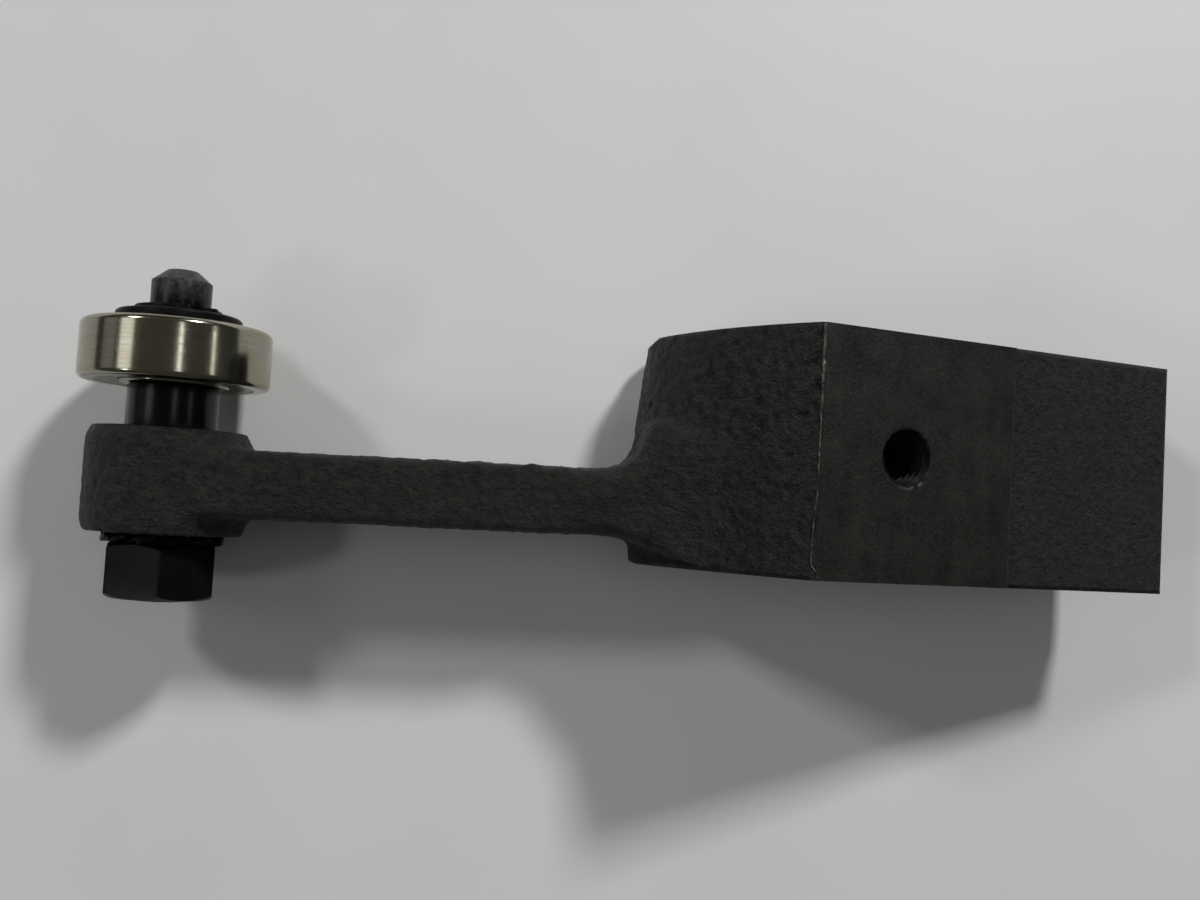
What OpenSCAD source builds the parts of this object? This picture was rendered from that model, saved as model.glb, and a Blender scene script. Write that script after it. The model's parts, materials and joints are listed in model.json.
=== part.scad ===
// Cam follower lever with a needle track roller.
// Frame: the origin is the centre of the hub's shaft bore, +X runs towards the tail,
// +Y runs along the shaft and stud axes towards the roller, +Z points up.
// Units are millimetres.

/* [Hub block] */
// Distance from the shaft axis to the wedge's ridge, along X
ridge_x = -9.2; // [-12:0.1:-6]
// Height of the ridge above the shaft axis
ridge_z = 29.9; // [28:0.1:32]
// Angle of the sloping pad below the horizontal
pad_slope = 18.9; // [16:0.1:22]
// Width of the block along the shaft
hub_width = 44.6; // [42:0.1:48]
// Radius of the hub's round underside
hub_radius = 19.8; // [18.5:0.1:21]
// Diameter of the shaft bore
shaft_bore_d = 24; // [20:0.5:26]
// Distance from the shaft axis to the far end of the tail, along X
tail_x = 67.4; // [62:0.1:72]
// Thickness of the tail's end
tail_thickness = 14; // [12:0.5:16]
// Far edge of the machined pad, along X
pad_end_x = 30.6; // [26:0.1:38]
// Height of the machined pad above the cast tail
pad_step = 0.5; // [0.2:0.1:0.8]
// Wall diameter of the M10 tapped hole
tapped_d = 8.5; // [6.8:0.1:10.2]

/* [Web and boss] */
// Height of the web's top at the hub
web_top = 10.8; // [10:0.1:12]
// Height of the web's underside
web_bottom = -15.3; // [-16:0.1:-13]
// Thickness of the web
web_thickness = 12.5; // [11:0.1:14]
// Middle of the web at the hub, along Y
web_y_hub = -10.7; // [-12:0.1:-10]
// Middle of the web at the boss, along Y
web_y_boss = -11.6; // [-14:0.1:-11]
// Diameter of the boss
boss_d = 30; // [28:0.2:32]
// Length of the boss along the stud
boss_length = 19.5; // [17:0.1:22]
// Face of the boss that the stud's collar seats on, along Y
boss_face_y = -1.9; // [-3:0.1:-1]

/* [Stud] */
// Stud axis, along X
stud_x = -126.4; // [-134:0.1:-120]
// Stud axis, along Z
stud_z = -2.3; // [-3:0.1:-2]
// Diameter of the collar between boss and roller
collar_d = 16.8; // [16:0.1:19]
// Diameter of the shank in the boss
shank_d = 13.9; // [13:0.1:14]
// Diameter of the threaded end
end_d = 11.9; // [11:0.1:12]
// Diameter of the tip beyond the bearing
tip_d = 11.2; // [10.6:0.1:12]

/* [Nut and washers] */
// Width of the nut across its flats
nut_af = 19; // [18:0.5:20]
// How far the tightened nut's upper corner stands past the top
nut_turn = 14; // [0:1:29]
// Height of the nut
nut_height = 10.2; // [10:0.1:11]
// Diameter over the teeth of the lock washer
lock_d = 21.9; // [21:0.1:24]
// Teeth round the lock washer
lock_teeth = 12; // [8:1:16]
// Diameter of the retaining washer
retainer_d = 23.2; // [20:0.1:24]

/* [Needle roller] */
// Outer diameter of the roller
roller_d = 35; // [34:0.1:35.4]
// Width of the inner ring
inner_width = 11.5; // [11:0.1:12]
// Bore of the inner ring
inner_bore_d = 15; // [15:0.1:15.4]
// Raceway diameter of the inner ring
inner_race_d = 20; // [19.9:0.01:20]
// Nominal diameter of a needle, which fills the gap between the raceways
needle_d = 3; // [2.9:0.01:3]

/* [Hidden] */

$fn = 96;
eps = 0.01;
arc_steps = 7;          // chords in one rounded corner

// Hub
half_width = hub_width / 2;
pad_dir = [cos(pad_slope), -sin(pad_slope)];
pad_normal = [sin(pad_slope), cos(pad_slope)];
pad_distance = ridge_x * pad_normal[0] + ridge_z * pad_normal[1];
bore_chamfer = 0.8;
face_end = [-32.4, 1.3]; // where the crowned rough face starts turning down
face_radius = 86;       // crown of the rough face
shoulder_radius = 24;   // turn from the rough face into the vertical left side
face_centre = arc_centre([ridge_x, ridge_z], face_end, face_radius);
face_turn = angle_of(face_end - face_centre);
shoulder_centre = face_end - shoulder_radius * unit(face_end - face_centre);
hub_left_x = shoulder_centre[0] - shoulder_radius;

// Web
root_join_x = -21;      // where the web's top, sweeping up, meets the rough face
web_overlap = 25;       // length of web buried in the hub
web_rise = 0.9;         // how much higher the web's top is at the boss
side_radius = 8;        // fillet between the web's side and the hub

// Stud stations along Y
boss_back_y = boss_face_y - boss_length;
roller_mid_y = 12.25;
inner_front_y = roller_mid_y + inner_width / 2;
inner_rear_y = roller_mid_y - inner_width / 2;
retainer_thickness = 2.1;
circlip_y = inner_front_y + retainer_thickness + 0.05;
circlip_thickness = 1.1;
groove_r = 5.2;
tip_y = 28.6;
lock_thickness = 0.9;
lock_space = 2;       // lock washer's height over its twisted teeth
nut_top_y = boss_back_y - lock_space;
stud_end_y = nut_top_y - nut_height - 0.5;

// Bearing
fit_gap = 0.02;         // running gap, each side
outer_width = 11.1;
outer_race_r = inner_race_d / 2 + needle_d;
pitch_r = (inner_race_d + needle_d) / 2;
needle_count = 16;
needle_length = 7.4;
cage_length = 9.2;
cage_inner_r = 10.5;
cage_outer_r = 12.5;
shield_thickness = 0.8;
shield_seat_r = 14.5;

function needle_name(i) = str("needle_", i < 10 ? "0" : "", i);
function unit(v) = v / norm(v);
function angle_of(v) = atan2(v[1], v[0]);
function point_at(a, r, c = [0, 0]) = c + r * [cos(a), sin(a)];

// Points of an arc from angle a to angle b
function arc(c, r, a, b, n = arc_steps) = [for (i = [0:n]) point_at(a + (b - a) * i / n, r, c)];

// Centre of the arc of radius r from a to b, on the right of the way from a to b
function arc_centre(a, b, r) =
    let (d = unit(b - a))
    (a + b) / 2 + [-d[1], d[0]] * sqrt(r * r - pow(norm(b - a) / 2, 2));

// The corner at p, between its neighbours a and b, rounded to radius r
function rounded(a, p, b, r) = r == 0 ? [p] :
    let (
        u = unit(a - p),
        v = unit(b - p),
        half = acos(u * v) / 2,
        c = p + unit(u + v) * r / sin(half),
        from = angle_of(p + u * r / tan(half) - c),
        turn = angle_of(p + v * r / tan(half) - c) - from,
        sweep = turn > 180 ? turn - 360 : turn < -180 ? turn + 360 : turn
    )
    arc(c, r, from, from + sweep);

// An outline from corners [x, y, radius]
function outline(q) = [
    for (i = [0:len(q) - 1])
        let (
            n = len(q),
            a = q[(i + n - 1) % n],
            p = q[i],
            b = q[(i + 1) % n]
        )
        each rounded([a[0], a[1]], [p[0], p[1]], [b[0], b[1]], p[2])
];

// Extrudes an X-Z outline along Y, from y0 to y1
module along_y(y0, y1) {
    translate([0, y1, 0]) rotate([90, 0, 0]) linear_extrude(y1 - y0) children();
}

// Turns an outline whose x is a radius and whose y is a place along Y about the stud's axis
module turned() {
    translate([stud_x, 0, stud_z]) rotate([-90, 0, 0]) rotate_extrude() children();
}

// A round bar along Y on the stud's axis
module bar(y0, y1, r) {
    translate([stud_x, y0, stud_z]) rotate([-90, 0, 0]) cylinder(h = y1 - y0, r = r);
}

// ---------- Lever ----------

// Point on the pad's plane at a given x, lowered by d along the pad's normal
function on_pad(x, d = 0) = [ridge_x, ridge_z] + (x - ridge_x) / pad_dir[0] * pad_dir - d * pad_normal;

module hub_profile() {
    foot_r = 9;
    under_to = -47;
    tail_top = on_pad(tail_x, pad_step);
    tail_chamfer = 1.2;
    polygon(concat(
        arc(face_centre, face_radius, angle_of([ridge_x, ridge_z] - face_centre), face_turn, 16),
        arc(shoulder_centre, shoulder_radius, face_turn, 180),
        arc([hub_left_x + foot_r, foot_r - hub_radius], foot_r, 180, 270),
        arc([0, 0], hub_radius, -90, under_to, 14),
        [tail_top - tail_thickness * pad_normal - tail_chamfer * pad_dir],
        [tail_top - (tail_thickness - tail_chamfer) * pad_normal],
        [tail_top],
        [on_pad(pad_end_x + 0.6, pad_step), on_pad(pad_end_x)]));
}

// The block, with the tall corner of its left side rounded off
module hub() {
    corner_r = 1.5;
    intersection() {
        along_y(-half_width, half_width) hub_profile();
        translate([0, 0, -hub_radius - 1]) linear_extrude(hub_radius + ridge_z + 2)
            polygon(outline([
                [hub_left_x, -half_width, 1],
                [tail_x + 10, -half_width, 0],
                [tail_x + 10, half_width, 0],
                [hub_left_x, half_width, corner_r]]));
    }
}

// Side view of the web: flat top, then a sweep that ends tangent to the rough face
module web_profile() {
    join_z = face_centre[1] + sqrt(face_radius * face_radius - pow(root_join_x - face_centre[0], 2));
    steepness = angle_of([root_join_x, join_z] - face_centre) - 90;
    reach = (join_z - web_top) / sin(steepness);
    sweep_radius = 0.97 * reach / tan(steepness / 2);
    inside_x = hub_left_x + web_overlap;
    polygon(outline([
        [stud_x, web_top + web_rise, 0],
        [root_join_x - reach * cos(steepness), web_top, sweep_radius],
        [root_join_x, join_z, 0],
        [inside_x, web_top, 0],
        [inside_x, web_bottom, 0],
        [stud_x + 26, web_bottom, 40],
        [stud_x, stud_z - 9, 0]]));
}

// Plan view of the web, leaning from the boss to the hub
module web_plan() {
    h = web_thickness / 2;
    inside_x = hub_left_x + web_overlap;
    polygon(outline([
        [stud_x, web_y_boss + h, 0],
        [hub_left_x + 0.2, web_y_hub + h, side_radius],
        [hub_left_x + 0.2, web_y_hub + h + side_radius + 2, 0],
        [inside_x, web_y_hub + h, 0],
        [inside_x, -half_width, 0],
        [hub_left_x + 12, -half_width, 12],
        [hub_left_x - 4, web_y_hub - h, 14],
        [stud_x, web_y_boss - h, 0]]));
}

module web() {
    intersection() {
        along_y(boss_back_y, half_width) web_profile();
        translate([0, 0, web_bottom - 1]) linear_extrude(ridge_z - web_bottom) web_plan();
    }
}

module boss() {
    turned() polygon([
        [0, boss_back_y], [boss_d / 2 - 1, boss_back_y], [boss_d / 2, boss_back_y + 1],
        [boss_d / 2, boss_face_y - 1], [boss_d / 2 - 1, boss_face_y], [0, boss_face_y]]);
}

module shaft_bore() {
    r = shaft_bore_d / 2;
    rotate([-90, 0, 0]) {
        translate([0, 0, -half_width - 1]) cylinder(h = hub_width + 2, r = r);
        for (s = [0, 1]) mirror([0, 0, s])
            translate([0, 0, half_width - bore_chamfer])
                cylinder(h = bore_chamfer + eps, r1 = r, r2 = r + bore_chamfer + eps);
    }
}

module tapped_hole() {
    r = tapped_d / 2;
    mouth_chamfer = 1.1;
    rotate([0, pad_slope, 0]) {
        cylinder(h = pad_distance + 2, r = r);
        translate([0, 0, pad_distance - mouth_chamfer])
            cylinder(h = mouth_chamfer + eps, r1 = r, r2 = r + mouth_chamfer + eps);
    }
}

module lever_arm() {
    color([0.14, 0.14, 0.12]) difference() {
        union() {
            hub();
            web();
            boss();
        }
        shaft_bore();
        tapped_hole();
        bar(boss_back_y - 1, boss_face_y + 1, shank_d / 2 + 0.03);
    }
}

// ---------- Stud and its fasteners ----------

module roller_stud() {
    end_r = end_d / 2;
    tip_r = tip_d / 2;
    tip_chamfer = [2.7, 2.2];
    shank_end_y = boss_back_y + 1;
    thread_chamfer = 1.2;
    journal_r = inner_bore_d / 2 - fit_gap;
    color([0.09, 0.09, 0.09]) turned() polygon([
        [0, stud_end_y], [end_r - thread_chamfer, stud_end_y], [end_r, stud_end_y + thread_chamfer],
        [end_r, shank_end_y], [shank_d / 2, shank_end_y + 0.5],
        [shank_d / 2, boss_face_y], [collar_d / 2 - 0.4, boss_face_y],
        [collar_d / 2, boss_face_y + 0.4], [collar_d / 2, inner_rear_y - 0.4],
        [collar_d / 2 - 0.4, inner_rear_y], [journal_r, inner_rear_y],
        [journal_r, inner_front_y - 0.6], [journal_r - 0.4, inner_front_y - 0.2],
        [tip_r, inner_front_y - 0.2], [tip_r, circlip_y],
        [groove_r, circlip_y], [groove_r, circlip_y + circlip_thickness + 0.1],
        [tip_r, circlip_y + circlip_thickness + 0.1],
        [tip_r, tip_y - tip_chamfer[1]], [tip_r - tip_chamfer[0], tip_y], [0, tip_y]]);
}

module hex_nut() {
    corner_r = nut_af / sqrt(3);
    cut = corner_r - nut_af / 2;
    drop = cut * tan(30);
    y1 = nut_top_y;
    y0 = nut_top_y - nut_height;
    color([0.08, 0.08, 0.08]) difference() {
        intersection() {
            translate([stud_x, y1, stud_z]) rotate([90, 0, 0]) rotate([0, 0, 30 - nut_turn])
                cylinder(h = nut_height, r = corner_r, $fn = 6);
            turned() polygon([
                [0, y0], [nut_af / 2 - 0.3, y0], [corner_r + 0.3, y0 + drop + 0.35],
                [corner_r + 0.3, y1 - drop - 0.35], [nut_af / 2 - 0.3, y1], [0, y1]]);
        }
        bar(y0 - 1, y1 + 1, end_d / 2 + 0.03);
    }
}

// External-tooth washer: every tooth is twisted out of the ring's plane
module lock_washer() {
    ring_r = lock_d / 2 - 2.4;
    tooth_w = 3.6;
    tooth_l = 3;
    twist_angle = 18;
    mid_y = boss_back_y - lock_space / 2;
    color([0.12, 0.12, 0.12]) translate([stud_x, mid_y, stud_z]) rotate([-90, 0, 0]) difference() {
        union() {
            translate([0, 0, -lock_thickness / 2]) cylinder(h = lock_thickness, r = ring_r);
            for (i = [0:lock_teeth - 1])
                rotate([0, 0, i * 360 / lock_teeth])
                    translate([lock_d / 2 - tooth_l, 0, 0])
                        rotate([twist_angle, 0, 0])
                            translate([0, -tooth_w / 2, -lock_thickness / 2])
                                cube([tooth_l, tooth_w, lock_thickness]);
        }
        translate([0, 0, -2]) cylinder(h = 4, r = end_d / 2 + 0.3);
    }
}

module retaining_washer() {
    r = retainer_d / 2;
    y0 = inner_front_y;
    y1 = inner_front_y + retainer_thickness;
    color([0.12, 0.12, 0.12]) turned() polygon([
        [tip_d / 2 + 0.1, y0], [r, y0], [r, y1 - 0.4], [r - 0.4, y1], [tip_d / 2 + 0.1, y1]]);
}

// Snap ring with two lugs beside its gap
module circlip() {
    inner_r = groove_r + 0.05;
    outer_r = 8;
    offset_x = 0.6;
    gap_angle = 24;
    lug_r = 1.5;
    lug_place = inner_r + 1.75;
    color([0.12, 0.12, 0.12]) translate([stud_x, circlip_y + 0.05, stud_z])
        rotate([-90, 0, 0]) rotate([0, 0, -50]) difference() {
            union() {
                translate([-offset_x, 0, 0]) cylinder(h = circlip_thickness, r = outer_r);
                for (s = [-1, 1]) rotate([0, 0, s * gap_angle])
                    translate([lug_place, 0, 0]) cylinder(h = circlip_thickness, r = lug_r, $fn = 32);
            }
            translate([0, 0, -1]) cylinder(h = 3, r = inner_r);
            for (s = [-1, 1]) rotate([0, 0, s * gap_angle])
                translate([lug_place + 0.1, 0, -1]) cylinder(h = 3, r = 0.65, $fn = 24);
            translate([0, 0, -1]) linear_extrude(3) polygon([
                [0, 0], point_at(gap_angle / 2, 14), point_at(-gap_angle / 2, 14)]);
        }
}

// ---------- Needle roller bearing ----------

module inner_ring() {
    bore_r = inner_bore_d / 2;
    race_r = inner_race_d / 2;
    c = 0.3;
    color([0.72, 0.72, 0.68]) turned() polygon([
        [bore_r, inner_rear_y + c], [bore_r + c, inner_rear_y],
        [race_r - c, inner_rear_y], [race_r, inner_rear_y + c],
        [race_r, inner_front_y - c], [race_r - c, inner_front_y],
        [bore_r + c, inner_front_y], [bore_r, inner_front_y - c]]);
}

module outer_ring() {
    r = roller_d / 2;
    corner_r = 1.1;
    y0 = roller_mid_y - outer_width / 2;
    y1 = roller_mid_y + outer_width / 2;
    seat = shield_thickness + 0.15;
    color([0.66, 0.66, 0.6]) turned() polygon(concat(
        [[outer_race_r, y0 + seat], [shield_seat_r, y0 + seat], [shield_seat_r, y0]],
        rounded([0, y0], [r, y0], [r, y1], corner_r),
        rounded([r, y0], [r, y1], [0, y1], corner_r),
        [[shield_seat_r, y1], [shield_seat_r, y1 - seat], [outer_race_r, y1 - seat]]));
}

// Pressed shield, with its rim in the outer ring and its lip clear of the inner ring
module shield(side) {
    y = roller_mid_y + side * (outer_width / 2 - 0.1);
    t = -side * shield_thickness;
    dish = -side * 0.25;
    lip_r = inner_race_d / 2 + 0.3;
    color([0.5, 0.5, 0.46]) turned() polygon([
        [lip_r, y + dish], [11.4, y + dish], [11.9, y], [shield_seat_r - fit_gap, y],
        [shield_seat_r - fit_gap, y + t], [lip_r, y + t]]);
}

module shield_front() {
    shield(1);
}

module shield_rear() {
    shield(-1);
}

module needle_cage() {
    pocket_length = needle_length + 0.2;
    pocket_width = needle_d + 0.04;
    y0 = roller_mid_y - cage_length / 2;
    color([0.55, 0.54, 0.48]) translate([stud_x, y0, stud_z]) rotate([-90, 0, 0]) difference() {
        cylinder(h = cage_length, r = cage_outer_r);
        translate([0, 0, -1]) cylinder(h = cage_length + 2, r = cage_inner_r);
        for (i = [0:needle_count - 1])
            rotate([0, 0, i * 360 / needle_count])
                translate([cage_inner_r - 1, -pocket_width / 2, (cage_length - pocket_length) / 2])
                    cube([4, pocket_width, pocket_length]);
    }
}

// One needle, numbered from 1 round the pitch circle
module needle(i) {
    r = needle_d / 2 - fit_gap;
    c = 0.3;
    a = (i - 1) * 360 / needle_count;
    color([0.8, 0.8, 0.78])
        translate([stud_x, roller_mid_y - needle_length / 2, stud_z]) rotate([-90, 0, 0])
            rotate([0, 0, a]) translate([pitch_r, 0, 0]) rotate_extrude($fn = 32) polygon([
                [0, 0], [r - c, 0], [r, c], [r, needle_length - c], [r - c, needle_length],
                [0, needle_length]]);
}

lever_arm();
roller_stud();
hex_nut();
lock_washer();
inner_ring();
outer_ring();
needle_cage();
shield_front();
shield_rear();
retaining_washer();
circlip();
for (i = [1:needle_count])
    needle(i);
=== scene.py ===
"""Cam follower lever with a needle track roller, laid on a pale table."""
import json
import math
import random

import bmesh
import bpy
import numpy as np
from mathutils import Matrix, Vector, noise


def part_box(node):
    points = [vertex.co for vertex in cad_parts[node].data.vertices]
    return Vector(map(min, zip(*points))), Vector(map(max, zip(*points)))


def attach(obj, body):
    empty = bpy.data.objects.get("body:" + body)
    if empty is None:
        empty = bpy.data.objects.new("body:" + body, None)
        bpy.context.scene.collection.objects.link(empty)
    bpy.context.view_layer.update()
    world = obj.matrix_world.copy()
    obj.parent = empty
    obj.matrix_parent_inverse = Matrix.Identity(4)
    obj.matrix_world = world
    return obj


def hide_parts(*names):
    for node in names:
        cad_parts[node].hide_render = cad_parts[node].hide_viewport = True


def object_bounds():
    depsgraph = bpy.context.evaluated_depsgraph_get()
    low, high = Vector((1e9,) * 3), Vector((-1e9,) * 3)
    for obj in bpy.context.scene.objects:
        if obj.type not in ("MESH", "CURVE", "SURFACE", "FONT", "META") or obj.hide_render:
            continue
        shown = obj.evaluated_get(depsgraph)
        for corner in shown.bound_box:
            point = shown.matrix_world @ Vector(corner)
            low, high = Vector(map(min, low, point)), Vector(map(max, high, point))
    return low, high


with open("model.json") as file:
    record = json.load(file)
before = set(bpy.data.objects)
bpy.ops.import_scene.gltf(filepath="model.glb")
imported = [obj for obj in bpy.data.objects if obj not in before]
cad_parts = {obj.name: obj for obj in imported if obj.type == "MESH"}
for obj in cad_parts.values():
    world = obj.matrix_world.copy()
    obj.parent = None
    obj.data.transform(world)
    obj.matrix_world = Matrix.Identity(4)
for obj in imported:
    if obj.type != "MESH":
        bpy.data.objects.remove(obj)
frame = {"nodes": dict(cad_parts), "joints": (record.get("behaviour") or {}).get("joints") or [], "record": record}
cad_bounds = [list(corner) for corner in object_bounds()]

MM = 0.001
record = frame["record"]
mounts = {mount["name"]: mount for mount in record["mounts"]}
joints = {joint["name"]: joint for joint in frame["joints"]}

# Places worked out from the frame
BORE_R = mounts["shaft_bore"]["dims"]["r_mm"] * MM
TAP_R = mounts["set_screw_hole"]["dims"]["r_mm"] * MM
TAP_AXIS = Vector(mounts["set_screw_hole"]["axis"]).normalized()
PAD_NORMAL = Vector(mounts["machined_pad"]["axis"]).normalized()
PAD_HEIGHT = Vector(mounts["machined_pad"]["pos_m"]).dot(PAD_NORMAL)
STUD = Vector(joints["roller_spin"]["pos_m"])
LEVER_LOW, LEVER_HIGH = (Vector(corner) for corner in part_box("lever_arm"))
TIP_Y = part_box("roller_stud")[1][1]
TABLE_Z = cad_bounds[0][2]
PAD_ALONG = Vector((PAD_NORMAL.z, 0, -PAD_NORMAL.x))
RIDGE_X, RIDGE_Z = -9.2 * MM, LEVER_HIGH.z


def on_slope(x, height):
    """How far along the pad's slope the point at x is, on a plane at that height along the pad's normal."""
    z = (height - x * PAD_NORMAL.x) / PAD_NORMAL.z
    return Vector((x, 0, z)).dot(PAD_ALONG)


# Sizes that the frame doesn't hold, as in the CAD
PAD_END_X = 30.6 * MM
PAD_STEP = 0.5 * MM
BOSS_R = 15 * MM
PAD_END = on_slope(PAD_END_X, PAD_HEIGHT)
TAIL_END = on_slope(LEVER_HIGH.x, PAD_HEIGHT - PAD_STEP)
TAIL_TOP_Z = (PAD_HEIGHT - PAD_STEP - LEVER_HIGH.x * PAD_NORMAL.x) / PAD_NORMAL.z

# The set screw's thread, which is only in this script
THREAD_R = 5.0 * MM
THREAD_PITCH = 1.5 * MM
THREAD_TURNS = 8
THREAD_START = 0.8 * MM         # below the pad
THREAD_PROFILE = ((5.08, -0.74), (4.28, -0.12), (4.28, 0.12), (5.08, 0.74))  # radius and height, mm

# The camera, in millimetres and in degrees about each axis in turn
CAMERA_LENS = 36.4
CAMERA_PLACE = (-62.6, -13.4, 233.9)
CAMERA_TURNS = (("Y", -4.39), ("X", 3.11), ("Z", 3.35))

# Width of the broken edges in millimetres, and the segments in each
BROKEN_EDGES = (
    ("roller_stud", 0.12, 3), ("hex_nut", 0.22, 3), ("lock_washer", 0.08, 2),
    ("retaining_washer", 0.15, 3), ("circlip", 0.10, 3), ("outer_ring", 0.08, 3),
    ("shield_front", 0.10, 3), ("shield_rear", 0.10, 3), ("inner_ring", 0.10, 3),
)


# ---------- Camera ----------

def make_camera():
    """A camera almost straight above the lever, as close as a hand-held one."""
    data = bpy.data.cameras.new("camera")
    data.sensor_width = 36
    data.lens = CAMERA_LENS
    camera = bpy.data.objects.new("camera", data)
    bpy.context.scene.collection.objects.link(camera)
    turn = Matrix.Identity(4)
    for axis, degrees in CAMERA_TURNS:
        turn = turn @ Matrix.Rotation(math.radians(degrees), 4, axis)
    camera.matrix_world = Matrix.Translation(Vector(CAMERA_PLACE) * MM) @ turn
    data.clip_start = 0.01
    bpy.context.scene.camera = camera


# ---------- Node helpers ----------

class Shader:
    """A material under construction, with short calls for its nodes."""

    def __init__(self, name, color, rough, metallic=0.0):
        self.material = bpy.data.materials.new(name)
        self.material.use_nodes = True
        self.tree = self.material.node_tree
        self.surface = self.tree.nodes["Principled BSDF"]
        self.surface.inputs["Base Color"].default_value = (*color, 1)
        self.surface.inputs["Roughness"].default_value = rough
        self.surface.inputs["Metallic"].default_value = metallic
        self.coords = self.node("ShaderNodeTexCoord").outputs["Object"]

    def node(self, kind, **settings):
        """A new node with its settings."""
        made = self.tree.nodes.new(kind)
        for key, value in settings.items():
            setattr(made, key, value)
        return made

    def link(self, source, target):
        """Joins two sockets."""
        self.tree.links.new(source, target)

    def scaled(self, scale):
        """The point's place, stretched along each axis."""
        mapping = self.node("ShaderNodeMapping")
        mapping.inputs["Scale"].default_value = scale
        self.link(self.coords, mapping.inputs["Vector"])
        return mapping.outputs["Vector"]

    def noise(self, scale, detail=3.0, rough=0.55, stretch=None):
        """Noise with scale lumps to the metre."""
        made = self.node("ShaderNodeTexNoise")
        made.inputs["Scale"].default_value = scale
        made.inputs["Detail"].default_value = detail
        made.inputs["Roughness"].default_value = rough
        self.link(self.scaled(stretch) if stretch else self.coords, made.inputs["Vector"])
        return made.outputs["Fac"]

    def ramp(self, value, low, high, dark, light):
        """Maps value from low..high to the colours dark..light."""
        made = self.node("ShaderNodeValToRGB")
        made.color_ramp.elements[0].position = low
        made.color_ramp.elements[1].position = high
        made.color_ramp.elements[0].color = (*dark, 1)
        made.color_ramp.elements[1].color = (*light, 1)
        self.link(value, made.inputs["Fac"])
        return made.outputs["Color"]

    def range(self, value, low, high, to_low, to_high):
        """Maps value from low..high to the numbers to_low..to_high."""
        made = self.node("ShaderNodeMapRange")
        made.inputs["From Min"].default_value = low
        made.inputs["From Max"].default_value = high
        made.inputs["To Min"].default_value = to_low
        made.inputs["To Max"].default_value = to_high
        self.link(value, made.inputs["Value"])
        return made.outputs["Result"]

    def mixed(self, data_type, socket_type, factor, a, b):
        """Mixes a and b by factor, each a socket or, for colours, three numbers."""
        made = self.node("ShaderNodeMix", data_type=data_type)
        self.link(factor, made.inputs["Factor"])
        for source, name in ((a, "A"), (b, "B")):
            target = next(s for s in made.inputs if s.name == name and s.type == socket_type)
            if isinstance(source, tuple):
                target.default_value = (*source, 1)
            else:
                self.link(source, target)
        return next(s for s in made.outputs if s.type == socket_type)

    def mix(self, factor, a, b):
        """Mixes two colours by factor."""
        return self.mixed("RGBA", "RGBA", factor, a, b)

    def blend(self, factor, a, b):
        """Mixes two numbers by factor."""
        return self.mixed("FLOAT", "VALUE", factor, a, b)

    def math(self, operation, a, b=0.0):
        """One sum on two numbers, each a socket or a float."""
        made = self.node("ShaderNodeMath", operation=operation)
        for source, target in zip((a, b), made.inputs):
            if isinstance(source, float):
                target.default_value = source
            else:
                self.link(source, target)
        return made.outputs["Value"]

    def dot(self, direction):
        """How far along a direction each point is."""
        made = self.node("ShaderNodeVectorMath", operation="DOT_PRODUCT")
        self.link(self.coords, made.inputs[0])
        made.inputs[1].default_value = direction
        return made.outputs["Value"]

    def line(self, value, centre, width):
        """1 where value is at centre, falling to 0 a width away."""
        away = self.math("ABSOLUTE", self.math("SUBTRACT", value, float(centre)))
        return self.range(away, 0.0, width, 1.0, 0.0)

    def attribute(self, name):
        """A value that the mesh holds at each point."""
        return self.node("ShaderNodeAttribute", attribute_name=name).outputs["Fac"]

    def bump(self, height, distance, strength=1.0):
        """Raises the surface by height times distance, in the shading only."""
        made = self.node("ShaderNodeBump")
        made.inputs["Distance"].default_value = distance
        made.inputs["Strength"].default_value = strength
        self.link(height, made.inputs["Height"])
        self.link(made.outputs["Normal"], self.surface.inputs["Normal"])

    def color(self, source):
        """Sets the surface's colour."""
        self.link(source, self.surface.inputs["Base Color"])

    def rough(self, source):
        """Sets the surface's roughness."""
        self.link(source, self.surface.inputs["Roughness"])


# ---------- Materials ----------

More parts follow.
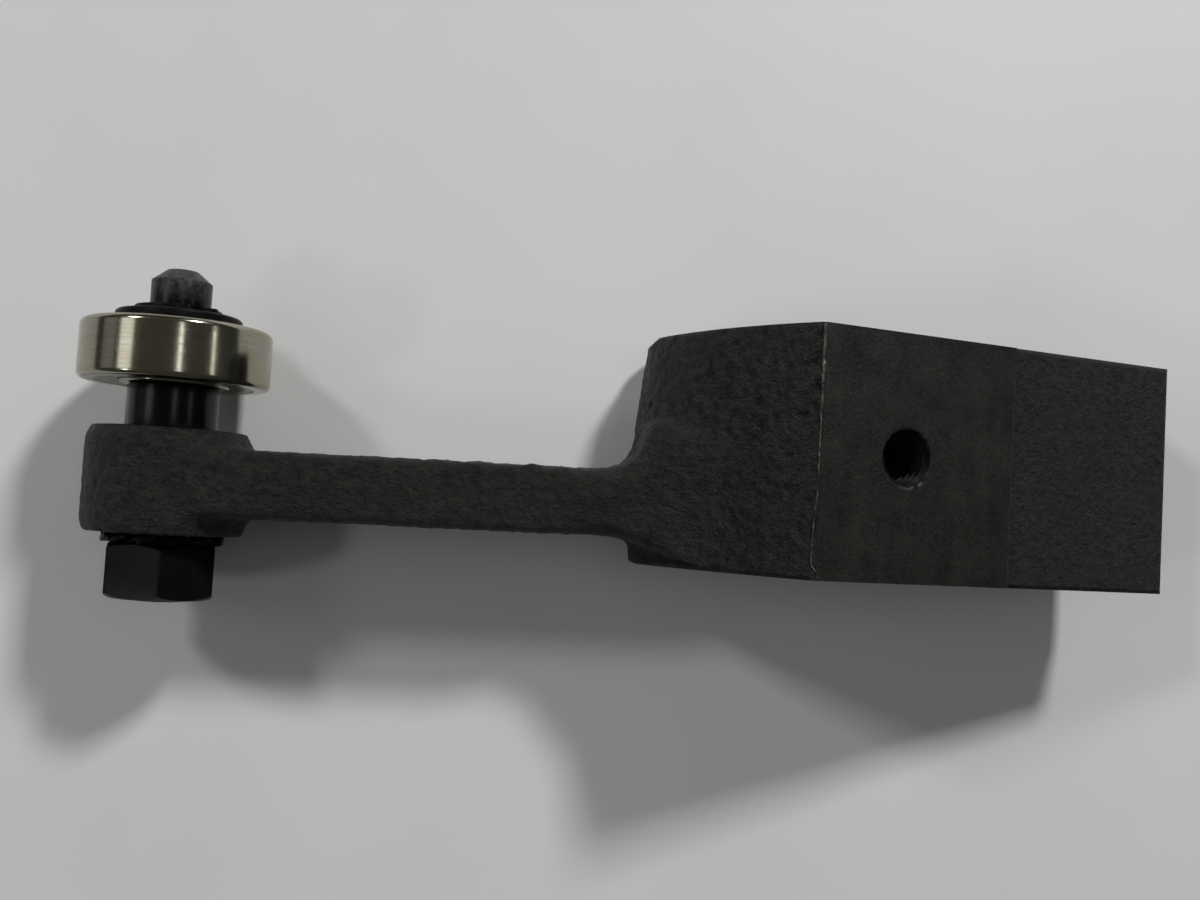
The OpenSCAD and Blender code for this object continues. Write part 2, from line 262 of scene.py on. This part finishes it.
def cast_iron():
    """The dark casting: a lumpy skin with painted shade in its pits, a milled pad, and two edges painted a little
    brighter: the pad's end as rubbed wear, the tail's end as wear and a painted highlight.
    """
    s = Shader("cast_iron", (0.02, 0.02, 0.017), 0.6)
    s.surface.inputs["Specular IOR Level"].default_value = 0.34
    machined = s.attribute("machined")
    relief = s.attribute("relief")
    grain = s.noise(800, 4, 0.7)
    patches = s.noise(45, 4, 0.6)
    # The skin's colour follows the mesh's relief: painted shade darkens the pits and the lumps come out lighter.
    lumpy = s.math("ADD", s.math("MULTIPLY", relief, 0.45), s.math("MULTIPLY", grain, 0.65))
    skin = s.ramp(lumpy, 0.46, 0.68, (0.0005, 0.0005, 0.0005), (0.0205, 0.021, 0.0170))
    cast = s.mix(s.range(patches, 0.35, 0.7, 0.0, 0.3), skin, (0.009, 0.0095, 0.007))
    lay = s.noise(300, 5, 0.65, stretch=(1.0, 0.12, 1.0))
    mottle = s.noise(160, 5, 0.6)
    speckle = s.noise(1300, 4, 0.75)
    marks = s.math("MULTIPLY", s.math("ADD", lay, mottle), 0.25)
    milled = s.math("ADD", marks, s.math("MULTIPLY", speckle, 0.5))
    cut = s.ramp(milled, 0.42, 0.60, (0.0025, 0.0028, 0.002), (0.0140, 0.0146, 0.0115))
    body = s.mix(machined, cast, cut)
    along = s.dot(PAD_ALONG)
    wobble = s.math("MULTIPLY", s.math("SUBTRACT", s.noise(500, 4, 0.7), 0.5), 0.5 * MM)
    edge = s.math("ADD", along, wobble)
    step = s.line(edge, PAD_END, 0.25 * MM)
    # The tail's end line, painted brighter: partly rubbed wear, partly a painted highlight.
    tail = s.line(edge, TAIL_END - 0.1 * MM, 0.4 * MM)
    rubbed = s.math("MULTIPLY", s.math("MAXIMUM", s.math("MULTIPLY", step, 0.25), tail),
                    s.range(s.noise(380, 4, 0.7), 0.35, 0.65, 0.15, 0.8))
    s.color(s.mix(s.math("MULTIPLY", rubbed, 0.6), body, (0.12, 0.12, 0.11)))
    s.rough(s.blend(machined, s.range(grain, 0.3, 0.7, 0.42, 0.66),
                    s.range(mottle, 0.3, 0.7, 0.40, 0.55)))
    pits = s.noise(1700, 5, 0.65)
    skin_height = s.math("ADD", grain, s.math("MULTIPLY", pits, 0.6))
    cut_height = s.math("ADD", s.math("MULTIPLY", lay, 0.05), s.math("MULTIPLY", pits, 0.14))
    s.bump(s.blend(machined, skin_height, cut_height), 0.90 * MM, 1.0)
    return s.material


def burr_and_highlight_metal():
    """Bare iron on a burr, bright in places; on the tail's end it is partly a painted highlight."""
    s = Shader("burr_and_highlight_metal", (0.11, 0.11, 0.10), 0.42, 0.6)
    s.color(s.ramp(s.noise(700, 4, 0.7), 0.35, 0.65, (0.02, 0.02, 0.018), (0.16, 0.16, 0.145)))
    s.bump(s.noise(2500, 3, 0.6), 0.03 * MM, 0.6)
    return s.material


def black_oxide(name, tone, rough, worn):
    """Blackened steel, with its high spots rubbed to bare grey by worn (0 to 1)."""
    s = Shader(name, tone, rough)
    s.surface.inputs["Specular IOR Level"].default_value = 0.09
    smear = s.noise(420, 5, 0.65)
    fine = s.noise(2600, 4, 0.6)
    base = s.ramp(smear, 0.3, 0.75, tuple(c * 0.6 for c in tone), tuple(c * 1.6 for c in tone))
    rub = s.range(s.math("ADD", s.math("MULTIPLY", smear, 0.7), s.math("MULTIPLY", fine, 0.5)),
                  0.78 - 0.25 * worn, 0.95 - 0.2 * worn, 0.0, worn)
    s.color(s.mix(rub, base, (0.10, 0.10, 0.095)))
    s.rough(s.range(fine, 0.3, 0.7, rough * 0.8, rough * 1.3))
    s.bump(fine, 0.015 * MM, 0.5)
    return s.material


def stud_steel():
    """The stud: glossy black where it is turned, rubbed and nicked at its tip."""
    s = Shader("stud_steel", (0.006, 0.006, 0.006), 0.25)
    s.surface.inputs["Specular IOR Level"].default_value = 0.28
    smear = s.noise(380, 5, 0.7)
    fine = s.noise(2400, 4, 0.6)
    nicks = s.noise(900, 5, 0.75)
    tip = s.range(s.dot(Vector((0, 1, 0))), TIP_Y - 6.5 * MM, TIP_Y - 2.5 * MM, 0.0, 1.0)
    dark = s.ramp(smear, 0.3, 0.75, (0.0015, 0.0015, 0.0015), (0.004, 0.004, 0.004))
    dull = s.ramp(nicks, 0.38, 0.66, (0.006, 0.006, 0.006), (0.07, 0.07, 0.068))
    s.color(s.mix(tip, dark, dull))
    s.rough(s.blend(tip, s.range(fine, 0.3, 0.7, 0.18, 0.28), s.range(nicks, 0.3, 0.7, 0.30, 0.55)))
    s.bump(s.blend(tip, s.math("MULTIPLY", fine, 0.2), nicks), 0.06 * MM, 0.6)
    return s.material


def ground_steel():
    """The roller's ground tread: fine scratches run round it, and oil tints it."""
    s = Shader("ground_steel", (0.42, 0.41, 0.35), 0.15, 1.0)
    s.surface.inputs["Anisotropic"].default_value = 0.4
    tangent = s.node("ShaderNodeTangent", direction_type="RADIAL", axis="Y")
    s.link(tangent.outputs["Tangent"], s.surface.inputs["Tangent"])
    lines = s.noise(700, 4, 0.7, stretch=(0.10, 5.0, 0.10))
    film = s.noise(130, 3, 0.6)
    base = s.ramp(lines, 0.25, 0.8, (0.28, 0.27, 0.215), (0.42, 0.405, 0.33))
    s.color(s.mix(s.range(film, 0.4, 0.75, 0.0, 0.7), base, (0.30, 0.265, 0.165)))
    s.rough(s.range(s.noise(1800, 3, 0.6), 0.3, 0.7, 0.10, 0.17))
    s.bump(lines, 0.004 * MM, 0.5)
    return s.material


def pressed_steel(name, tone, rough):
    """Bare sheet or rolled steel with faint stains."""
    s = Shader(name, tone, rough, 1.0)
    stain = s.noise(300, 4, 0.6)
    s.color(s.ramp(stain, 0.3, 0.75, tuple(c * 0.6 for c in tone), tuple(c * 1.2 for c in tone)))
    s.rough(s.range(s.noise(2200, 3, 0.6), 0.3, 0.7, rough * 0.8, rough * 1.25))
    s.bump(stain, 0.01 * MM, 0.4)
    return s.material


def table_top():
    """A pale grey, slightly uneven board."""
    s = Shader("table_top", (0.72, 0.725, 0.72), 0.55)
    haze = s.noise(14, 3, 0.5)
    s.color(s.ramp(haze, 0.3, 0.7, (0.70, 0.705, 0.71), (0.735, 0.74, 0.745)))
    s.bump(s.noise(900, 2, 0.5), 0.01 * MM, 0.25)
    return s.material


# ---------- Mesh helpers ----------

def put(name, mesh, material, body, slot, *nodes):
    """Links a mesh as a piece that rides on a body and stands for CAD nodes."""
    piece = bpy.data.objects.new(name, mesh)
    bpy.context.scene.collection.objects.link(piece)
    mesh.materials.clear()
    mesh.materials.append(material)
    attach(piece, body)
    if nodes:
        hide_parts(*nodes)


def baked(piece):
    """The piece's mesh with its modifiers applied."""
    depsgraph = bpy.context.evaluated_depsgraph_get()
    mesh = bpy.data.meshes.new_from_object(piece.evaluated_get(depsgraph))
    piece.modifiers.clear()
    return mesh


def node_copy(node):
    """A welded copy of a CAD node's mesh."""
    work = bmesh.new()
    work.from_mesh(frame["nodes"][node].data)
    bmesh.ops.remove_doubles(work, verts=work.verts, dist=0.001 * MM)
    mesh = bpy.data.meshes.new(node + "_skin")
    work.to_mesh(mesh)
    work.free()
    return mesh


def set_attribute(mesh, name, values):
    """Stores a value for each point, for a material to read."""
    layer = mesh.attributes.new(name, "FLOAT", "POINT")
    layer.data.foreach_set("value", np.asarray(values, dtype=np.float32))


def fractal(points, scale, octaves, seed):
    """Fractal noise at each point, about -1 to 1."""
    shift = Vector((seed * 7.31, seed * 3.17, seed * 5.73))
    return np.array([noise.fractal(Vector(p) * scale + shift, 1.0, 2.1, octaves) for p in points])


# ---------- Shape helpers ----------

def smoothstep(low, high, x):
    """0 at low, 1 at high and a smooth turn between; low may be the greater."""
    t = np.clip((x - low) / (high - low), 0, 1)
    return t * t * (3 - 2 * t)


def point_arrays(mesh):
    """The mesh's points and normals as arrays."""
    co = np.empty(len(mesh.vertices) * 3)
    normals = np.empty(len(mesh.vertices) * 3)
    mesh.vertices.foreach_get("co", co)
    mesh.vertex_normals.foreach_get("vector", normals)
    return co.reshape(-1, 3), normals.reshape(-1, 3)


def relax(mesh, co, weight, rounds):
    """Moves each point towards the middle of its neighbours, by weight, a number of times."""
    edges = np.empty(len(mesh.edges) * 2, dtype=np.int64)
    mesh.edges.foreach_get("vertices", edges)
    first, second = edges.reshape(-1, 2).T
    count = len(co)
    degree = np.bincount(first, minlength=count) + np.bincount(second, minlength=count)
    for _ in range(rounds):
        middle = np.empty_like(co)
        for axis in range(3):
            total = np.bincount(first, co[second, axis], count)
            total += np.bincount(second, co[first, axis], count)
            middle[:, axis] = total / np.maximum(degree, 1)
        co = co + (middle - co) * weight[:, None]
    return co


# ---------- Lever casting ----------

def cut_faces(co, normals):
    """Which points lie on each surface that was cut after casting."""
    pad_n, along_n, tap = np.array(PAD_NORMAL), np.array(PAD_ALONG), np.array(TAP_AXIS)
    facing = 0.7                # least dot product of two normals on one face
    height = co @ pad_n - PAD_HEIGHT
    on_pad = (co[:, 0] > RIDGE_X) & (co @ along_n < PAD_END)
    pad = (np.abs(height) < 0.3 * MM) & on_pad & (normals @ pad_n > facing)
    bore = np.hypot(co[:, 0], co[:, 2]) < BORE_R + 1.0 * MM
    along_tap = co @ tap
    across_tap = np.linalg.norm(co - np.outer(along_tap, tap), axis=1)
    hole = (across_tap < TAP_R + 0.9 * MM) & (along_tap > BORE_R)
    faces_y = np.abs(normals[:, 1]) > facing
    side = (np.abs(co[:, 1]) > LEVER_HIGH.y - 0.4 * MM) & faces_y & (co[:, 0] > -40 * MM)
    end = (normals @ along_n > facing) & (co @ along_n > TAIL_END - 1.5 * MM)
    stud_r = np.hypot(co[:, 0] - STUD.x, co[:, 2] - STUD.z)
    boss = (stud_r < BOSS_R - 1.0 * MM) & faces_y
    return {"pad": pad, "bore": bore, "hole": hole, "side": side, "end": end, "boss": boss}


def draft_left_side(co):
    """Leans the hub's left side out towards the back, as a pattern's draft does."""
    draft, start = 1.9 * MM, 5 * MM
    lean = draft * (1 - np.clip((co[:, 1] - start) / (LEVER_HIGH.y - start), 0, 1) ** 1.3)
    near = smoothstep(-21 * MM, -33 * MM, co[:, 0]) * smoothstep(-54 * MM, -40 * MM, co[:, 0])
    moved = co.copy()
    moved[:, 0] -= lean * near
    return moved


def widen_hole(co, hole):
    """Moves the tapped hole's wall out to the foot of the thread."""
    tap = np.array(TAP_AXIS)
    on_axis = np.outer(co @ tap, tap)
    outward = co - on_axis
    radius = np.linalg.norm(outward, axis=1)
    widen = np.where(hole, np.maximum(radius, THREAD_R) / np.maximum(radius, 1e-6), 1.0)
    return on_axis + outward * widen[:, None]


def remeshed_lever():
    """The CAD lever as an even grid of small faces, with its edges kept."""
    piece = bpy.data.objects.new("casting", node_copy("lever_arm"))
    bpy.context.scene.collection.objects.link(piece)
    remesh = piece.modifiers.new("remesh", "REMESH")
    remesh.mode = "SHARP"
    remesh.octree_depth = 9
    remesh.scale = 0.67
    remesh.sharpness = 1.0
    remesh.use_remove_disconnected = True
    mesh = baked(piece)
    bpy.data.objects.remove(piece)
    return mesh


def lever_casting():
    """The casting: lumpy where it was poured, flat and crisp where it was cut."""
    mesh = remeshed_lever()
    co, normals = point_arrays(mesh)
    cut = cut_faces(co, normals)
    machined = np.any(list(cut.values()), axis=0)
    free = (~machined).astype(float)
    x, y, z = co.T

    # Soften the fillets where the web meets the hub, then the whole web
    root = smoothstep(-54 * MM, -44 * MM, x) * smoothstep(-13 * MM, -21 * MM, x)
    root *= smoothstep(20.5 * MM, 16 * MM, np.abs(y)) * smoothstep(-2 * MM, 6 * MM, z)
    co = relax(mesh, co, 0.6 * free * root, 60)
    web = free * smoothstep(-24 * MM, -40 * MM, x) * smoothstep(21.4 * MM, 20 * MM, np.abs(y))
    co = relax(mesh, co, 0.5 * web, 24)
    co = draft_left_side(co)

    # Raise the cast skin's lumps, grains and pits, in millimetres
    on_boss = smoothstep(BOSS_R + 6 * MM, BOSS_R, np.hypot(x - STUD.x, z - STUD.z))
    on_tail = (co @ np.array(PAD_ALONG) > PAD_END - 1 * MM).astype(float)
    lumps = fractal(co, 150, 3, 1)
    grain = fractal(co, 560, 3, 2)
    pits = np.clip(fractal(co, 800, 2, 3) - 0.25, 0, 1)
    relief = 0.10 * lumps + 0.25 * grain - 0.42 * pits
    depth = free * (1 - 0.2 * on_boss) * (1 - 0.5 * on_tail)
    mesh.vertices.foreach_set("co", co.ravel())
    mesh.update()
    _, normals = point_arrays(mesh)
    moved = co + normals * (depth * relief * MM)[:, None]

    # The small nub on the web's top
    nub, nub_height, nub_size = np.array((-57.8, -4.7, 10.6)) * MM, 0.7 * MM, 1.5 * MM
    from_nub = np.linalg.norm(co - nub, axis=1)
    moved[:, 1] += nub_height * np.exp(-(from_nub / nub_size) ** 2)

    moved = widen_hole(moved, cut["hole"])
    pad_n = np.array(PAD_NORMAL)
    moved[cut["pad"]] -= np.outer((moved @ pad_n - PAD_HEIGHT)[cut["pad"]], pad_n)
    np.clip(moved[:, 1], LEVER_LOW.y, LEVER_HIGH.y, out=moved[:, 1])
    np.clip(moved[:, 2], LEVER_LOW.z, None, out=moved[:, 2])
    mesh.vertices.foreach_set("co", moved.ravel())

    set_attribute(mesh, "machined", machined.astype(float))
    # Tone for the skin's colour: painted shade darker in the pits, lighter on the lumps, and a little darker on
    # the tail.
    tone = 0.5 + 0.9 * relief * (1 - 0.5 * on_tail) - 0.08 * on_tail
    set_attribute(mesh, "relief", np.clip(tone, 0, 1))
    mesh.shade_smooth()
    mesh.set_sharp_from_angle(angle=math.radians(48))
    put("lever_arm_casting", mesh, materials["cast_iron"], "lever", "cast_iron", "lever_arm")


# ---------- Burrs and thread ----------

def lofted(name, rings):
    """A closed mesh through rings of points, capped at both ends."""
    work = bmesh.new()
    loops = [[work.verts.new(point) for point in ring] for ring in rings]
    for one, two in zip(loops, loops[1:]):
        for step in range(len(one)):
            after = (step + 1) % len(one)
            work.faces.new((one[step], one[after], two[after], two[step]))
    work.faces.new(loops[0][::-1])
    work.faces.new(loops[-1])
    bmesh.ops.recalc_face_normals(work, faces=work.faces)
    mesh = bpy.data.meshes.new(name)
    work.to_mesh(mesh)
    work.free()
    return mesh


def wire(name, points, radii):
    """A six-sided tube mesh through the points, with its own radius at each."""
    sides = 6
    rings = []
    for index, (point, radius) in enumerate(zip(points, radii)):
        ahead = (points[min(index + 1, len(points) - 1)] - points[max(index - 1, 0)]).normalized()
        side = ahead.cross(Vector((0, 0, 1))).normalized()
        up = side.cross(ahead)
        turns = [2 * math.pi * step / sides for step in range(sides)]
        rings.append([point + radius * (math.cos(turn) * side + math.sin(turn) * up) for turn in turns])
    mesh = lofted(name, rings)
    mesh.shade_smooth()
    return mesh


def across_lever(count, inset):
    """Evenly spaced Y places over the lever's width, starting an inset from its sides."""
    low, high = LEVER_LOW.y + inset, LEVER_HIGH.y - inset
    return [low + (high - low) * index / (count - 1) for index in range(count)]


def ridge_burr():
    """The ragged bright burr that the milling cutter left along the ridge."""
    rng = random.Random(5)
    points, radii = [], []
    left_slope = 0.62           # how steeply the rough face falls beside the ridge
    for y in across_lever(150, 0.3 * MM):
        drift = 0.5 * MM * smoothstep(-6 * MM, -16 * MM, y)
        drift -= 1.2 * MM * smoothstep(-19.4 * MM, -21.6 * MM, y)
        jitter = 0.14 * MM * noise.noise(Vector((y * 900, 3.1, 0)))
        x = RIDGE_X - drift + jitter
        fall = (RIDGE_X - x) * left_slope if x < RIDGE_X else (x - RIDGE_X) * PAD_NORMAL.x / PAD_NORMAL.z
        points.append(Vector((x, y, RIDGE_Z - fall - 0.08 * MM)))
        swell = 0.7 + 0.8 * smoothstep(-2 * MM, 21 * MM, y)
        ragged = 0.15 + 0.12 * abs(noise.noise(Vector((y * 1500, 0, 7.7)))) + 0.05 * rng.random()
        radii.append(float(swell * ragged * MM))
    put("ridge_burr", wire("ridge_burr", points, radii), materials["burr_and_highlight_metal"], "lever", "cast_iron")


def tail_edge_wear_and_highlight():
    """The thin bright edge along the end of the tail: partly rubbed wear, partly a painted highlight."""
    rng = random.Random(9)
    points, radii = [], []
    for y in across_lever(120, 0.2 * MM):
        points.append(Vector((LEVER_HIGH.x - 0.10 * MM, y, TAIL_TOP_Z - 0.08 * MM)))
        ragged = 0.07 + 0.05 * abs(noise.noise(Vector((y * 1100, 4.4, 0)))) + 0.02 * rng.random()
        radii.append(ragged * MM)
    put("tail_edge_wear_and_highlight", wire("tail_edge_wear_and_highlight", points, radii), materials["burr_and_highlight_metal"], "lever", "cast_iron")


def hole_thread():
    """The thread's ridges inside the set screw's hole, in the near-black blackened-steel material as painted shade
    in the hole.
    """
    steps = 40                  # points in one turn
    side = TAP_AXIS.cross(Vector((0, 1, 0))).normalized()
    up = TAP_AXIS.cross(side)
    rings = []
    for index in range(steps * THREAD_TURNS + 1):
        angle = 2 * math.pi * index / steps
        height = PAD_HEIGHT - THREAD_START - THREAD_PITCH * index / steps
        out = math.cos(angle) * side + math.sin(angle) * up
        rings.append([out * (r * MM) + TAP_AXIS * (height + h * MM) for r, h in THREAD_PROFILE])
    # The black-oxide material darkens the thread: painted shade inside the hole.
    put("hole_thread", lofted("hole_thread", rings), materials["black_oxide"], "lever", "cast_iron")


# ---------- Turned and pressed parts ----------

def edged_copy(node, width, segments):
    """A copy of a CAD node with its sharp edges broken."""
    piece = bpy.data.objects.new(node + "_work", node_copy(node))
    bpy.context.scene.collection.objects.link(piece)
    bevel = piece.modifiers.new("bevel", "BEVEL")
    bevel.width = width
    bevel.segments = segments
    bevel.limit_method = "ANGLE"
    bevel.angle_limit = math.radians(32)
    mesh = baked(piece)
    bpy.data.objects.remove(piece)
    mesh.shade_smooth()
    mesh.set_sharp_from_angle(angle=math.radians(38))
    slot = slots[node]
    put(node + "_finished", mesh, materials.get(node, materials[slot]), bodies[node], slot, node)


# ---------- Table and lights ----------

def make_table():
    """A pale table top that the lever lies on."""
    mesh = bpy.data.meshes.new("table")
    half = 1.5
    corners = ((-half, -half), (half, -half), (half, half), (-half, half))
    mesh.from_pydata([(x, y, TABLE_Z) for x, y in corners], [], [(0, 1, 2, 3)])
    table = bpy.data.objects.new("table", mesh)
    bpy.context.scene.collection.objects.link(table)
    mesh.materials.append(table_top())


def area_light(name, direction, distance, size, watts, color=(1, 1, 1)):
    """A rectangular lamp that faces the middle of the lever."""
    data = bpy.data.lights.new(name, "AREA")
    data.shape = "RECTANGLE"
    data.size, data.size_y = size
    data.energy = watts
    data.color = color
    lamp = bpy.data.objects.new(name, data)
    bpy.context.scene.collection.objects.link(lamp)
    target = Vector((-0.04, 0, 0))
    place = target + Vector(direction).normalized() * distance
    back = (place - target).normalized()
    across = Vector((0, 1, 0)).cross(back).normalized()
    up = back.cross(across)
    turn = Matrix((across, up, back)).transposed().to_4x4()
    lamp.matrix_world = Matrix.Translation(place) @ turn


def tube(name, angle, width, watts):
    """A lamp that lies along the roller's axis, angle degrees from overhead towards +X."""
    a = math.radians(angle)
    area_light(name, (math.sin(a), 0.11, math.cos(a)), 1.2, (width, 0.36), watts)


def make_lights():
    """A key light, two windows, four lamps for the roller to reflect, and a dim room."""
    area_light("key", (0.66, 1.18, 1.0), 1.5, (0.17, 0.17), 15.0, (1.0, 0.99, 0.97))
    area_light("left_window", (-0.95, 0.80, 1.0), 3.0, (0.40, 0.40), 20.0)
    area_light("far_window", (-1.1, -0.45, 1.0), 3.2, (0.28, 0.5), 7.0)
    tube("window", -49.0, 0.33, 0.62)
    tube("wall", -72, 0.35, 0.08)
    tube("ceiling", 14.5, 0.08, 0.30)
    tube("lamp", 55.5, 0.055, 0.20)
    world = bpy.data.worlds.new("room")
    bpy.context.scene.world = world
    world.use_nodes = True
    tree = world.node_tree
    coords = tree.nodes.new("ShaderNodeTexCoord")
    split = tree.nodes.new("ShaderNodeSeparateXYZ")
    ramp = tree.nodes.new("ShaderNodeValToRGB")
    tree.links.new(coords.outputs["Generated"], split.inputs["Vector"])
    tree.links.new(split.outputs["Z"], ramp.inputs["Fac"])
    tree.links.new(ramp.outputs["Color"], tree.nodes["Background"].inputs["Color"])
    ramp.color_ramp.elements[0].color = (0.050, 0.050, 0.048, 1)
    ramp.color_ramp.elements[1].color = (0.080, 0.078, 0.070, 1)


# ---------- The scene ----------

make_camera()
materials = {
    "cast_iron": cast_iron(),
    "black_oxide": black_oxide("black_oxide", (0.0042, 0.0042, 0.0042), 0.32, 0.12),
    "black_spring_steel": black_oxide("black_spring_steel", (0.004, 0.004, 0.004), 0.36, 0.3),
    "bearing_steel": ground_steel(),
    "shield_steel": pressed_steel("shield_steel", (0.34, 0.34, 0.31), 0.33),
    "cage_steel": pressed_steel("cage_steel", (0.40, 0.39, 0.34), 0.35),
    "needle_steel": pressed_steel("needle_steel", (0.62, 0.62, 0.60), 0.15),
    "roller_stud": stud_steel(),
    "burr_and_highlight_metal": burr_and_highlight_metal(),
}
slots = {part["node"]: part["material_slot"] for part in record["subparts"]}
bodies = {node: body for body, held in record["behaviour"]["bodies"].items() for node in held}
for node, thing in frame["nodes"].items():
    for place in thing.material_slots:
        place.material = materials[slots[node]]

lever_casting()
ridge_burr()
tail_edge_wear_and_highlight()
hole_thread()
for node, width, segments in BROKEN_EDGES:
    edged_copy(node, width * MM, segments)
make_table()
make_lights()
bpy.context.scene.view_settings.view_transform = "Standard"
